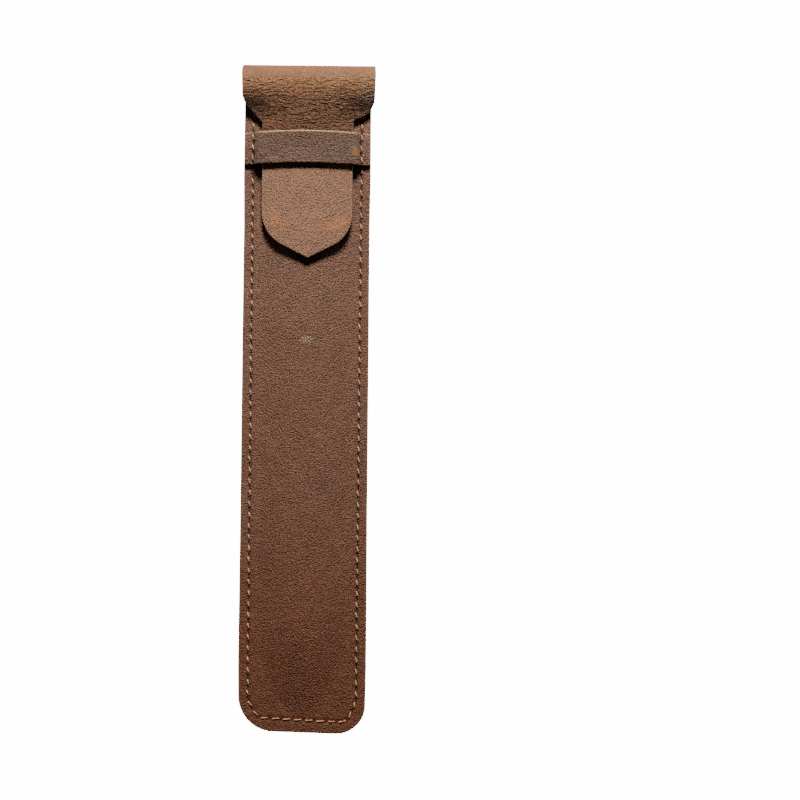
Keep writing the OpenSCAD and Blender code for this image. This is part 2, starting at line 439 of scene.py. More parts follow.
def front_outline():
    """The front panel: the body up to the mouth."""
    right = side_corners(MOUTH)
    left = [(-x, y, r) for x, y, r in reversed(right)]
    mouth = [(HALF_BODY, MOUTH, 1.2), (-HALF_BODY, MOUTH, 1.2)]
    left_low, right_low = body_bottom()
    return rounded([left_low, right_low] + right + mouth + left)


def hide_outline():
    """The back piece laid flat: body, fold, shoulders, neck and pointed tongue."""
    right = side_corners(TOP) + [
        (HALF_BODY, FOLD_Y - 5, 5),
        (HALF_FLAP - 0.1, FOLD_Y + 3, 5),
        (HALF_FLAP + 0.25, flat_y(2), 8),
        (HALF_FLAP - 0.1, flat_y(13.1), 6.4),
        (HALF_TONGUE - 0.1, flat_y(14.5), 0.7),
        (HALF_TONGUE - 0.1, flat_y(45.9), 9.8)]
    left = [
        (-HALF_TONGUE + 0.2, flat_y(45.6), 10.2),
        (-HALF_TONGUE + 0.2, flat_y(15.6), 0.9),
        (-HALF_FLAP + 0.35, flat_y(9.1), 5),
        (-HALF_FLAP + 0.15, flat_y(2), 8),
        (-HALF_FLAP + 0.6, FOLD_Y + 3, 5),
        (-HALF_BODY, FOLD_Y - 5, 5)]
    left += [(-x, y, r) for x, y, r in reversed(side_corners(TOP))]
    tip = [(0.3, flat_y(TOP - TONGUE_LOW[1] + 0.6), 0.7)]
    return rounded(body_bottom() + right + tip + left)


# ---------------------------------------------------------------- the seam

def seam_path():
    """The seam's points, half a millimetre apart, from the left mouth round to the right."""
    x = seam_x()
    top = MOUTH - shape().stitch_inset
    low = BOTTOM + shape().bottom_inset
    long, short = shape().seam_corner, shape().seam_corner * 0.45
    loop = rounded([
        (-x, top, 0), (-x, low + long, 8), (-x + short, low + 0.9, 1.8),
        (x - short, low - 0.2, 1.8), (x, low + long - 0.8, 8), (x, top, 0)], SEAM_STEP)
    end = int(np.argmax(loop[:, 0] * 0.01 + loop[:, 1])) + 1
    return loop[:end]


def seam_lengths(path):
    """How far along the seam each of its points lies."""
    return np.concatenate([[0], np.cumsum(np.linalg.norm(np.diff(path, axis=0), axis=1))])


def seam_coordinates(points):
    """Each point's distance to the left of the seam and its place along it, in stitches."""
    path = seam_path()
    lengths = seam_lengths(path)
    pitch = lengths[-1] / stitch_count()
    aside = np.full(len(points), 99.0)
    along = np.zeros(len(points))
    for i in range(len(path) - 1):
        step = path[i + 1] - path[i]
        size = np.hypot(*step)
        rel = points - path[i]
        t = np.clip(rel @ step / size ** 2, 0, 1)
        gap = rel - t[:, None] * step
        far = np.hypot(gap[:, 0], gap[:, 1])
        side = np.sign(step[0] * rel[:, 1] - step[1] * rel[:, 0])
        closer = far < np.abs(aside)
        aside[closer] = (far * np.where(side == 0, 1, side))[closer]
        along[closer] = (lengths[i] + t * size)[closer] / pitch
    return aside, along


def bottom_share(along, total):
    """1 on the bottom run of the seam, where the stitches lie longer, and 0 on its sides."""
    return smooth(5.0, 4.0, np.abs(along - total / 2))


def stitch_count():
    """How many stitches of about the wanted pitch the seam takes."""
    return round(seam_lengths(seam_path())[-1] / shape().stitch_pitch)


def seam_dent(aside, along):
    """How far the thread pulls the leather in: a soft groove, deeper at each hole."""
    groove = np.exp(-(aside / GROOVE_WIDTH) ** 2)
    hole = np.exp(-(aside / HOLE_WIDTH) ** 2) * smooth(0.25, 0.45, np.abs(along % 1 - 0.5))
    return GROOVE_DEPTH * groove + HOLE_DEPTH * hole


# ---------------------------------------------------------------- meshes

def distance_to(outline, points):
    """The distance from each point to a closed outline, less than 0 outside it."""
    nearest = np.full(len(points), 1e9)
    inside = np.zeros(len(points), bool)
    x, y = points[:, 0], points[:, 1]
    for a, b in zip(outline, np.roll(outline, -1, axis=0)):
        step = b - a
        rel = points - a
        t = np.clip(rel @ step / (step @ step), 0, 1)
        nearest = np.minimum(nearest, np.hypot(*(rel - t[:, None] * step).T))
        if a[1] != b[1]:
            crosses = (a[1] > y) != (b[1] > y)
            inside ^= crosses & (x < (b[0] - a[0]) * (y - a[1]) / (b[1] - a[1]) + a[0])
    return np.where(inside, nearest, -nearest)


def inset(outline, depth):
    """The outline moved inwards by a small depth."""
    ahead = np.roll(outline, -1, axis=0) - outline
    back = outline - np.roll(outline, 1, axis=0)
    ahead /= np.linalg.norm(ahead, axis=1)[:, None]
    back /= np.linalg.norm(back, axis=1)[:, None]
    normal = np.stack([-(ahead + back)[:, 1], (ahead + back)[:, 0]], -1)
    normal *= (2 * depth / np.maximum((normal ** 2).sum(1), 0.8))[:, None]
    return outline + normal


def row_points(bands, half, beside):
    """Points in staggered rows, closer together beside the side seams. Each band is
    (low y, high y, row step, column step)."""
    found = []
    for low, high, dy, dx in bands:
        rows = max(1, round((high - low) / dy))
        for k in range(rows):
            y = low + (k + 0.5) * (high - low) / rows
            xs = np.arange(-half, half, dx) + (k % 2) * dx / 2
            if dx > 0.5:
                close = np.arange(-1.2, 1.21, 0.3) + (k % 2) * 0.12
                xs = xs[np.abs(np.abs(xs) - beside) > 1.4]
                xs = np.concatenate([xs, beside + close, -beside + close])
            found.append(np.stack([xs, np.full(len(xs), y)], -1))
    return np.concatenate(found)


def open_sides(faces):
    """The sides that only one face has, each as its two points in that face's order."""
    sides = {}
    for f in faces:
        for a, b in zip(f, f[1:] + f[:1]):
            if (b, a) in sides:
                del sides[(b, a)]
            else:
                sides[(a, b)] = True
    return list(sides)


class Cut:
    """A piece cut flat from leather: its points, its triangles and the loop round its edge."""

    def __init__(self, outline, bands, lines=()):
        rings = [inset(outline, d) for d in RIM_DEPTHS]
        points, edges = [], []
        for ring in rings:
            base, n = sum(map(len, points)), len(ring)
            points.append(ring)
            edges += [(base + i, base + (i + 1) % n) for i in range(n)]
        inner = row_points(bands, np.abs(outline[:, 0]).max() + 1, seam_x())
        for line in lines:
            inner = inner[np.abs(inner[:, 1] - line) > LINE_CLEAR]
        inner = inner[distance_to(outline, inner) > RIM_DEPTHS[-1] + RIM_CLEAR]
        points.append(inner)
        for line in lines:
            xs = self.crossings(rings, line)
            base = sum(map(len, points))
            ends = len(RIM_DEPTHS)
            middle = np.linspace(xs[ends - 1], xs[-ends], LINE_POINTS)
            xs = np.concatenate([xs[:ends], middle[1:-1], xs[-ends:]])
            points.append(np.stack([xs, np.full(len(xs), line)], -1))
            edges += [(base + i, base + i + 1) for i in range(len(xs) - 1)]
        flat = np.concatenate(points)
        verts, _, faces, _, _, _ = geometry.delaunay_2d_cdt(
            [Vector(p) for p in flat], edges, [list(range(len(outline)))], 1, 1e-5)
        self.flat = np.array([tuple(v) for v in verts])
        self.faces = [f for f in faces if len(f) == 3]
        self.loop = self.boundary()
        self.edge = np.maximum(distance_to(outline, self.flat), 0)
        self.edge[self.loop] = 0

    @staticmethod
    def crossings(rings, line):
        """Where a level line cuts the rings, from left to right."""
        found = []
        for ring in rings:
            for a, b in zip(ring, np.roll(ring, -1, axis=0)):
                if (a[1] > line) != (b[1] > line):
                    found.append(a[0] + (b[0] - a[0]) * (line - a[1]) / (b[1] - a[1]))
        return np.array(sorted(found))

    def boundary(self):
        """The outer loop, in order."""
        follow = dict(open_sides(self.faces))
        start = next(iter(follow))
        loop, here = [start], follow[start]
        while here != start:
            loop.append(here)
            here = follow[here]
        return loop


def solid_leather(cut, place, relief):
    """Gives a cut piece its thickness. Returns its points, faces and what each point is."""
    r = shape().edge_r
    x, y = cut.flat[:, 0], cut.flat[:, 1]
    middle, facing = place(x, y)
    near = np.clip(r - cut.edge, 0, r)
    drop = r - np.sqrt(np.maximum(r * r - near * near, 0))
    raised = relief(x, y) * smooth(0, 0.5, cut.edge)
    grain = middle + facing * (LEATHER / 2 - drop + raised)[:, None]
    flesh = middle - facing * (LEATHER / 2 - drop)[:, None]
    loop = np.array(cut.loop)
    fray = EDGE_WANDER * layered_noise(x[loop] * 2.2, y[loop] * 2.2, 71)
    ahead = np.roll(cut.flat[loop], -1, axis=0) - np.roll(cut.flat[loop], 1, axis=0)
    outward = np.stack([ahead[:, 1], -ahead[:, 0]], -1)
    outward /= np.linalg.norm(outward, axis=1)[:, None]
    rim_x, rim_y = x[loop] + outward[:, 0] * fray, y[loop] + outward[:, 1] * fray
    rim = place(rim_x, rim_y)[0]
    n, m = len(x), len(loop)
    points = np.concatenate([grain, flesh, rim])
    faces = [tuple(f) for f in cut.faces] + [tuple(n + v for v in reversed(f)) for f in cut.faces]
    for i in range(m):
        k = (i + 1) % m
        a, b = int(loop[i]), int(loop[k])
        faces.append((b, a, 2 * n + i, 2 * n + k))
        faces.append((2 * n + k, 2 * n + i, n + a, n + b))
    side = np.concatenate([np.zeros(n), np.ones(n), np.full(m, 0.5)])
    flat = np.concatenate([cut.flat, cut.flat, cut.flat[loop]])
    edge = np.concatenate([cut.edge, cut.edge, np.zeros(m)])
    return points, faces, {"side": side, "flat": flat, "edge": edge}


ATTRIBUTE_KINDS = {"FLOAT": ("value", 1), "FLOAT_VECTOR": ("vector", 3), "FLOAT_COLOR": ("color", 4)}


def write_attributes(mesh, columns):
    """Stores each column of values on the mesh's points, under its name."""
    kinds = {width: kind for kind, (_, width) in ATTRIBUTE_KINDS.items()}
    for name, values in columns.items():
        kind = kinds[values.size // len(values)]
        data = mesh.attributes.new(name, kind, "POINT")
        data.data.foreach_set(ATTRIBUTE_KINDS[kind][0], values.astype(np.float32).ravel())


def leather_mesh(name, points, faces, columns):
    """A smooth mesh in metres from points in millimetres, with its faces pointing out."""
    mesh = bpy.data.meshes.new(name)
    mesh.from_pydata((points * MM).tolist(), [], faces)
    write_attributes(mesh, columns)
    mesh.shade_smooth()
    mesh.update()
    if not outward(mesh):
        mesh.flip_normals()
    return mesh


def outward(mesh):
    """Whether a closed mesh's faces point out, from the sign of its volume."""
    count = len(mesh.vertices)
    co = np.empty(count * 3, np.float32)
    mesh.vertices.foreach_get("co", co)
    co = co.reshape(-1, 3)
    mesh.calc_loop_triangles()
    tri = np.empty(len(mesh.loop_triangles) * 3, np.int32)
    mesh.loop_triangles.foreach_get("vertices", tri)
    a, b, c = co[tri.reshape(-1, 3)].transpose(1, 0, 2)
    return (a * np.cross(b, c)).sum() > 0


def add_piece(name, mesh, material):
    """Puts a mesh in the scene as a piece of one material."""
    piece = bpy.data.objects.new(name, mesh)
    bpy.context.scene.collection.objects.link(piece)
    mesh.materials.clear()
    mesh.materials.append(material)
    return piece


def split_mesh(mesh, name, pick):
    """A closed part of a mesh: the faces picked, with the mesh's own smooth normals, and flat
    caps where the neighbouring parts were cut away."""
    smooth_normals = np.empty(len(mesh.vertices) * 3, np.float32)
    mesh.vertex_normals.foreach_get("vector", smooth_normals)
    smooth_normals = smooth_normals.reshape(-1, 3)
    faces = [tuple(p.vertices) for p, keep in zip(mesh.polygons, pick) if keep]
    used = sorted({v for f in faces for v in f})
    new = {v: i for i, v in enumerate(used)}
    count = len(faces)
    all_faces = [tuple(new[v] for v in f) for f in faces]
    for ring in open_rings(faces):
        all_faces += ladder([new[v] for v in ring], [mesh.vertices[v].co for v in ring])
    part = bpy.data.meshes.new(name)
    part.from_pydata([mesh.vertices[v].co for v in used], [], all_faces)
    for a in mesh.attributes:
        if a.domain == "POINT" and a.name != "position" and a.data_type in ATTRIBUTE_KINDS:
            key, width = ATTRIBUTE_KINDS[a.data_type]
            values = np.empty(len(mesh.vertices) * width, np.float32)
            a.data.foreach_get(key, values)
            copy = part.attributes.new(a.name, a.data_type, "POINT")
            copy.data.foreach_set(key, values.reshape(-1, width)[used].ravel())
    part.shade_smooth()
    part.update()
    normals = []
    for i, p in enumerate(part.polygons):
        for v in p.vertices:
            n = smooth_normals[used[v]] if i < count else p.normal
            normals.append(tuple(n))
    part.normals_split_custom_set(normals)
    return part


def open_rings(faces):
    """The closed rings of points round the holes in a set of faces."""
    follow = {b: a for a, b in open_sides(faces)}
    rings = []
    while follow:
        start = next(iter(follow))
        ring, here = [start], follow.pop(start)
        while here != start:
            ring.append(here)
            here = follow.pop(here)
        rings.append(ring)
    return rings


def ladder(ring, places):
    """Faces that close a long thin ring of points, rung by rung, from one end to the other."""
    xs = [p.x for p in places]
    start = xs.index(min(xs))
    ring = ring[start:] + ring[:start]
    xs = xs[start:] + xs[:start]
    faces = []
    i, k = 1, len(ring) - 1
    a, b = ring[0], ring[0]
    while i <= k:
        if i == k:
            faces.append((a, ring[i], b))
            break
        if xs[i] <= xs[k]:
            faces.append((a, ring[i], b))
            a, i = ring[i], i + 1
        else:
            faces.append((a, ring[k], b))
            b, k = ring[k], k - 1
    return [f for f in faces if len(set(f)) == 3]


# ---------------------------------------------------------------- colours over the leather

def mix(a, b, share):
    """Colours between a and b, one row for each share."""
    a, b = np.atleast_2d(a), np.atleast_2d(b)
    return a + (b - a) * share[:, None]


def tinted(colour, x, y, seed, depth=0.07):
    """The colour with slow cloudy changes, as rows of four values."""
    near, wide = layered_noise(x / 5.5, y / 7.5, seed), layered_noise(x / 19, y / 26, seed + 9)
    cloud = 1 + depth * (near + wide)
    return np.concatenate([np.clip(colour * cloud[:, None], 0, 1), np.ones((len(x), 1))], 1)


def hide_tint(x, s):
    """Brown on the back, pale over the fold, dark where creased and rubbed on the tongue."""
    look = finish()
    colour = mix(look.back, look.fold, smooth(FOLD_Y - 8, FOLD_Y + 5, s))
    wander = s + 1.2 * layered_noise(x / 4, s / 3, 43)
    colour = mix(colour, look.crease, smooth(flat_y(-1), flat_y(3), wander))
    colour = mix(colour, look.flap, smooth(flat_y(4), flat_y(9), wander))
    colour = mix(colour, look.tongue, smooth(flat_y(18), flat_y(24), s))
    return tinted(colour, x, s, 51)


# How the front's colour changes up its length
FRONT_FADE_Y = [-81, -67, -48, -27, -5, 13, 32]
FRONT_FADE = [0, 0.09, 0.27, 0.55, 0.7, 0.76, 1]


def front_tint(x, y):
    """Darker and redder towards the bottom."""
    look = finish()
    share = np.interp(y, FRONT_FADE_Y, FRONT_FADE)
    return tinted(mix(look.front_low, look.front, share), x, y, 61)


def strap_tint(x, y):
    """Lighter at the strap's ends, where it is stretched over the seams."""
    look = finish()
    ends = 0.12 * smooth(12, 16, np.abs(x))
    return tinted(mix(look.strap, look.fold, ends), x, y, 67)


# ---------------------------------------------------------------- shader building

def add(tree, kind, values=None, **settings):
    """A new node with its settings, and its inputs set or linked."""
    made = tree.nodes.new(kind)
    for key, value in settings.items():
        setattr(made, key, value)
    for key, value in (values or {}).items():
        if isinstance(value, bpy.types.NodeSocket):
            tree.links.new(value, made.inputs[key])
        else:
            made.inputs[key].default_value = value
    return made


def maths(tree, operation, *values):
    """The result of an operation on one or two numbers."""
    return add(tree, "ShaderNodeMath", dict(enumerate(values)), operation=operation).outputs[0]


def plus(tree, a, b):
    return maths(tree, "ADD", a, b)


def minus(tree, a, b):
    return maths(tree, "SUBTRACT", a, b)


def times(tree, a, b):
    return maths(tree, "MULTIPLY", a, b)


def absolute(tree, value):
    return maths(tree, "ABSOLUTE", value)


def vectors(tree, operation, *values):
    """The result of an operation on vectors."""
    made = add(tree, "ShaderNodeVectorMath", dict(enumerate(values)), operation=operation)
    return made.outputs["Value" if operation == "LENGTH" else "Vector"]


def ramp(tree, value, low, high, start=0.0, end=1.0):
    """A smooth change from start to end as the value goes from low to high."""
    node = add(tree, "ShaderNodeMapRange", {
        "Value": value, "From Min": low, "From Max": high, "To Min": start, "To Max": end},
        interpolation_type="SMOOTHSTEP")
    return node.outputs["Result"]


def blended(tree, share, a, b, blend="MIX"):
    """Colour a changed towards colour b by a share."""
    node = add(tree, "ShaderNodeMix", {0: share, 6: a, 7: b}, data_type="RGBA", blend_type=blend)
    return node.outputs[2]


def noise(tree, place, scale, detail=2.0, roughness=0.5, distortion=0.0):
    node = add(tree, "ShaderNodeTexNoise", {
        "Vector": place, "Scale": scale, "Detail": detail, "Roughness": roughness,
        "Distortion": distortion})
    return node.outputs["Fac"]


def attribute(tree, name, output="Fac"):
    return add(tree, "ShaderNodeAttribute", attribute_name=name).outputs[output]


def colour4(values, level=1.0):
    """A colour with its brightness scaled and its alpha added."""
    return tuple(min(v * level, 1.0) for v in values) + (1.0,)


def separated(tree, vector):
    """The three numbers of a vector."""
    return add(tree, "ShaderNodeSeparateXYZ", {0: vector}).outputs


def empty_material(name):
    """A new material, and its node tree with nothing in it."""
    material = bpy.data.materials.new(name)
    material.use_nodes = True
    material.node_tree.nodes.clear()
    return material, material.node_tree


SOCKETS = {"value": "NodeSocketFloat", "vector": "NodeSocketVector", "colour": "NodeSocketColor"}


def shader_group(name, inputs, outputs, build):
    """A node group with the named inputs and outputs, made once."""
    found = bpy.data.node_groups.get(name)
    if found is not None:
        return found
    tree = bpy.data.node_groups.new(name, "ShaderNodeTree")
    for label, (kind, default) in inputs.items():
        socket = tree.interface.new_socket(label, in_out="INPUT", socket_type=SOCKETS[kind])
        socket.default_value = default
    for label in outputs:
        tree.interface.new_socket(label, in_out="OUTPUT", socket_type=SOCKETS["value"])
    given = tree.nodes.new("NodeGroupInput")
    result = tree.nodes.new("NodeGroupOutput")
    made = build(tree, given.outputs)
    for label in outputs:
        tree.links.new(made[label], result.inputs[label])
    return tree


def use_group(tree, group, values):
    return add(tree, "ShaderNodeGroup", values, node_tree=group).outputs


def grain_group():
    """Fine leather grain on flat millimetres: height, pores, crackle lines and cloudy mottle."""
    def build(tree, given):
        place, size = given["Place"], given["Grain size"]
        per = maths(tree, "DIVIDE", 1.0, size)
        fine = noise(tree, place, per, 1.5, 0.55)
        coarse = times(tree, per, 0.62)
        cells = add(tree, "ShaderNodeTexVoronoi", {"Vector": place, "Scale": coarse})
        pebble = ramp(tree, cells.outputs["Distance"], 0.0, 0.75)
        drift = add(tree, "ShaderNodeTexNoise", {"Vector": place, "Scale": 0.9}).outputs["Color"]
        warped = vectors(tree, "MULTIPLY_ADD", drift, (0.8, 0.8, 0.8), place)
        lines = add(tree, "ShaderNodeTexVoronoi", {
            "Vector": warped, "Scale": 0.75}, feature="DISTANCE_TO_EDGE")
        line = ramp(tree, lines.outputs["Distance"], 0.075, 0.0)
        broken = ramp(tree, noise(tree, place, 0.35, 2.0), 0.46, 0.66)
        crackle = times(tree, line, broken)
        dots = add(tree, "ShaderNodeTexVoronoi", {"Vector": place, "Scale": 1.15})
        some = ramp(tree, noise(tree, place, 0.8, 1.0), 0.42, 0.62)
        pore = times(tree, ramp(tree, dots.outputs["Distance"], 0.26, 0.08), some)
        mottle = noise(tree, place, 0.28, 4.0, 0.6)
        height = plus(tree, times(tree, fine, 1.2), times(tree, pebble, 0.3))
        height = minus(tree, height, times(tree, pore, 0.5))
        height = minus(tree, height, times(tree, crackle, 0.25))
        return {"Height": height, "Fine": fine, "Pores": pore, "Crackle": crackle, "Mottle": mottle}
    return shader_group("Leather grain", {
        "Place": ("vector", (0, 0, 0)), "Grain size": ("value", 0.45)},
        ["Height", "Fine", "Pores", "Crackle", "Mottle"], build)


def stitch_shade_group():
    """Painted shade: masks of the dark slanting awl slits between the stitches and of the seam's groove, from
    the seam attribute.
    """
    def build(tree, given):
        aside, along, low = separated(tree, given["Seam"])
        wave = minus(tree, maths(tree, "FRACT", plus(tree, along, 0.5)), 0.5)
        slant = times(tree, wave, given["Slant"])
        shift = times(tree, low, -0.15)
        off = absolute(tree, minus(tree, minus(tree, aside, slant), shift))
        half = minus(tree, given["Half length"], times(tree, low, 0.05))
        away = absolute(tree, wave)
        inner = minus(tree, half, 0.07)
        length = ramp(tree, away, half, inner)
        width = ramp(tree, off, given["Half width"], 0.1)
        hole = times(tree, length, width)
        # Painted shade along the groove that the thread pulls into the leather
        groove = ramp(tree, absolute(tree, aside), 0.85, 0.15)
        return {"Hole": hole, "Groove": groove}
    return shader_group("Painted stitch shade", {
        "Seam": ("vector", (9, 0, 0)), "Slant": ("value", 0.8), "Half length": ("value", 0.27),
        "Half width": ("value", 0.27)}, ["Hole", "Groove"], build)


def edge_group():
    """Loose pale fibres and a rubbed line along a cut edge."""
    def build(tree, given):
        rough = noise(tree, given["Place"], 2.6, 3.0, 0.6)
        uneven = times(tree, minus(tree, rough, 0.5), 0.5)
        far = plus(tree, given["Edge"], uneven)
        fibre = times(tree, ramp(tree, far, given["Width"], 0.02), given["Fray"])
        worn = ramp(tree, far, 0.8, 0.2)
        return {"Fibre": fibre, "Worn": worn}
    return shader_group("Raw edge", {
        "Place": ("vector", (0, 0, 0)), "Edge": ("value", 9.0), "Fray": ("value", 0.3),
        "Width": ("value", 0.42)}, ["Fibre", "Worn"], build)


def mark_group():
    """A rubbed patch and a curved scratch about a place on the flat leather."""
    def build(tree, given):
        centred = vectors(tree, "SUBTRACT", given["Place"], given["Centre"])
        turned = add(tree, "ShaderNodeVectorRotate", {
            "Vector": centred, "Angle": given["Turn"]}, rotation_type="Z_AXIS").outputs[0]
        local = vectors(tree, "DIVIDE", turned, given["Size"])
        far = vectors(tree, "LENGTH", local)
        torn = noise(tree, given["Place"], 1.3, 4.0, 0.65)
        ragged = plus(tree, far, times(tree, minus(tree, torn, 0.5), 1.7))
        patch = ramp(tree, ragged, 1.0, 0.45)
        parts = separated(tree, local)
        bow = times(tree, times(tree, parts[0], parts[0]), 0.6)
        near = absolute(tree, minus(tree, parts[1], bow))
        thin = maths(tree, "DIVIDE", given["Line"], separated(tree, given["Size"])[1])
        line = ramp(tree, near, thin, 0.0)
        ends = ramp(tree, absolute(tree, parts[0]), 1.0, 0.6)
        return {"Patch": patch, "Scratch": times(tree, line, ends)}
    return shader_group("Rubbed mark", {
        "Place": ("vector", (0, 0, 0)), "Centre": ("vector", (0, 0, 0)), "Size": ("vector", (1, 1, 9)),
        "Turn": ("value", 0.0), "Line": ("value", 0.16)}, ["Patch", "Scratch"], build)


# The painted shade in the awl holes and on the thread where it dives into them, and the depth of the finest
# relief in millimetres
PAINTED_HOLE_SHADE = (0.006, 0.004, 0.003, 1)
PAINTED_THREAD_SHADE = (0.02, 0.012, 0.008, 1)
GRAIN_DEPTH = 0.42
FIBRE_DEPTH = 0.05


def strongest(tree, values):
    """The greatest of several masks."""
    total = values[0]
    for value in values[1:]:
        total = maths(tree, "MAXIMUM", total, value)
    return total


def leather_material(name, patches=(), scratches=(), scars=(), grain=0.45, pore_depth=0.5,
                     creased=False):
    """Waxed pull-up leather. Its marks are (x, y, length, width, turn, strength)."""
    look = finish()
    material, tree = empty_material(name)
    place = attribute(tree, "flat", "Vector")
    tint = attribute(tree, "tint", "Color")
    side = attribute(tree, "side")
    grained = use_group(tree, grain_group(), {"Place": place, "Grain size": grain})
    seam = use_group(tree, stitch_shade_group(), {"Seam": attribute(tree, "seam", "Vector")})
    cut = use_group(tree, edge_group(), {
        "Place": place, "Edge": attribute(tree, "edge"), "Fray": attribute(tree, "fray")})

    mottled = ramp(tree, grained["Mottle"], 0.25, 0.75, 0.88, 1.12)
    fine = ramp(tree, grained["Fine"], 0.32, 0.68, 0.62, 1.38)
    level = times(tree, mottled, fine)
    grey = add(tree, "ShaderNodeCombineColor", {0: level, 1: level, 2: level}).outputs[0]
    colour = blended(tree, 1.0, tint, grey, "MULTIPLY")
    # Darker and lighter copies of the colour: the darker one for the pores and the painted shade along the
    # seam's groove, the lighter one for the crackle lines, the worn edge line and the painted highlight on
    # the wrinkle crests
    dark = blended(tree, 1.0, colour, (0.45, 0.42, 0.4, 1), "MULTIPLY")
    light = blended(tree, 1.0, colour, (1.65, 1.6, 1.55, 1), "MULTIPLY")
    colour = blended(tree, times(tree, grained["Pores"], pore_depth), colour, dark)
    colour = blended(tree, times(tree, grained["Crackle"], 0.35), colour, light)
    height = times(tree, grained["Height"], minus(tree, 1.0, attribute(tree, "calm")))
    if creased:
        stretched = vectors(tree, "MULTIPLY", place, (0.4, 1.05, 1.0))
        waves = noise(tree, stretched, 0.95, 2.0, 0.5, 0.15)
        ridge = ramp(tree, absolute(tree, minus(tree, waves, 0.5)), 0.13, 0.0)
        ridge = times(tree, ridge, attribute(tree, "wrinkled"))
        height = plus(tree, height, times(tree, ridge, 0.8))
        # Painted highlight: the wrinkle crests are painted lighter
        crest_highlight = maths(tree, "MAXIMUM", attribute(tree, "crease"), times(tree, ridge, 0.6))
        colour = blended(tree, times(tree, crest_highlight, 0.85), colour, light)

    def masks(part, marks):
        """The mask and the strength of each mark."""
        for x, y, length, width, turn, strength in marks:
            made = use_group(tree, mark_group(), {
                "Place": place, "Centre": (x, y, 0), "Size": (length, width, 9), "Turn": turn})
            yield made[part], strength

    rubbed = [times(tree, mask, strength) for mask, strength in masks("Patch", patches)]
    rubbed += [times(tree, mask, strength) for mask, strength in masks("Scratch", scratches)]
    if rubbed:
        colour = blended(tree, strongest(tree, rubbed), colour, colour4(look.scuff))
    for mask, strength in masks("Patch", scars):
        flecks = ramp(tree, noise(tree, place, 2.4, 3.0, 0.7), 0.5, 0.58, 0, strength)
        colour = blended(tree, times(tree, mask, flecks), colour, colour4(look.scar))
    colour = blended(tree, times(tree, cut["Worn"], 0.22), colour, light)
    # Painted shade along the seam's groove
    colour = blended(tree, times(tree, seam["Groove"], 0.25), colour, dark)

    nap = noise(tree, place, 3.1, 4.0, 0.7)
    suede = blended(tree, ramp(tree, nap, 0.3, 0.7, 0.1, 0.9), colour4(look.flesh, 0.72),
                    colour4(look.flesh, 1.18))
    strands = ramp(tree, nap, 0.35, 0.65)
    fibres = blended(tree, strands, colour4(look.fibre, 0.6), colour4(look.fibre))
    colour = blended(tree, cut["Fibre"], colour, fibres)
    rim = times(tree, ramp(tree, side, 0.02, 0.5), ramp(tree, side, 0.98, 0.5))
    cut_face = blended(tree, strands, colour4(look.flesh, 0.4), colour4(look.flesh))
    colour = blended(tree, times(tree, rim, 0.85), colour, cut_face)
    inner = ramp(tree, side, 0.5, 0.95)
    colour = blended(tree, inner, colour, suede)
    # Painted shade: the awl slits are painted almost black
    colour = blended(tree, times(tree, seam["Hole"], 0.95), colour, PAINTED_HOLE_SHADE)

    height = plus(tree, height, times(tree, nap, ramp(tree, side, 0.2, 0.8, 0, 1.6)))
    normal = add(tree, "ShaderNodeBump", {
        "Height": height, "Strength": 1.0, "Distance": GRAIN_DEPTH * MM}).outputs[0]
    rough = plus(tree, ramp(tree, grained["Fine"], 0.3, 0.7, 0.48, 0.62), times(tree, inner, 0.3))
    surface = add(tree, "ShaderNodeBsdfPrincipled", {
        "Base Color": colour, "Roughness": rough, "Normal": normal, "Specular IOR Level": 0.35,
        "Sheen Weight": 0.08, "Sheen Roughness": 0.5})
    add(tree, "ShaderNodeOutputMaterial", {0: surface.outputs[0]})
    return material


def thread_material():
    """Waxed polyester thread, with painted shade where it dives into its holes."""
    look = finish()
    material, tree = empty_material("Waxed thread")
    place = add(tree, "ShaderNodeTexCoord").outputs["Object"]
    fibre = noise(tree, place, 5200.0, 3.0, 0.6)
    cloud = noise(tree, place, 420.0, 2.0)
    run = attribute(tree, "run")
    colour = blended(tree, ramp(tree, fibre, 0.3, 0.7), colour4(look.thread, 0.62),
                     colour4(look.thread, 1.12))
    colour = blended(tree, ramp(tree, cloud, 0.35, 0.75, 0, 0.35), colour, colour4(look.flap))
    # Painted shade: the thread is painted almost black where it dives into its holes
    colour = blended(tree, ramp(tree, run, 0.3, 0.02), colour, PAINTED_THREAD_SHADE)
    normal = add(tree, "ShaderNodeBump", {
        "Height": fibre, "Strength": 0.5, "Distance": FIBRE_DEPTH * MM}).outputs[0]
    surface = add(tree, "ShaderNodeBsdfPrincipled", {
        "Base Color": colour, "Roughness": 0.55, "Normal": normal, "Specular IOR Level": 0.4})
    add(tree, "ShaderNodeOutputMaterial", {0: surface.outputs[0]})
    return material


# ---------------------------------------------------------------- the leather pieces

def finished(name, cut, place, relief, tint, fray, crease=None, calm=None):
    """The closed mesh of a cut piece with every attribute its material reads."""
    points, faces, made = solid_leather(cut, place, relief)
    x, y = made["flat"][:, 0], made["flat"][:, 1]
    aside, along = seam_coordinates(made["flat"])
    low = bottom_share(along, stitch_count())
    columns = {
        "flat": np.stack([x, y, made["side"] * 7], -1), "tint": tint(x, y), "side": made["side"],
        "edge": made["edge"], "fray": fray(x, y), "seam": np.stack([aside, along, low], -1),
        "calm": calm(y) if calm is not None else np.zeros(len(x))}
    # The crease attribute masks the painted highlight on the wrinkle crests
    if crease is not None:
        columns["crease"] = crease(x, y)
        columns["wrinkled"] = wrinkled(y)
    return leather_mesh(name, points, faces, columns)


def sewn_dent(x, y):
    """The relief that the seam makes at a place on the flat leather."""
    aside, along = seam_coordinates(np.stack([x, y], -1))
    return -seam_dent(aside, along)


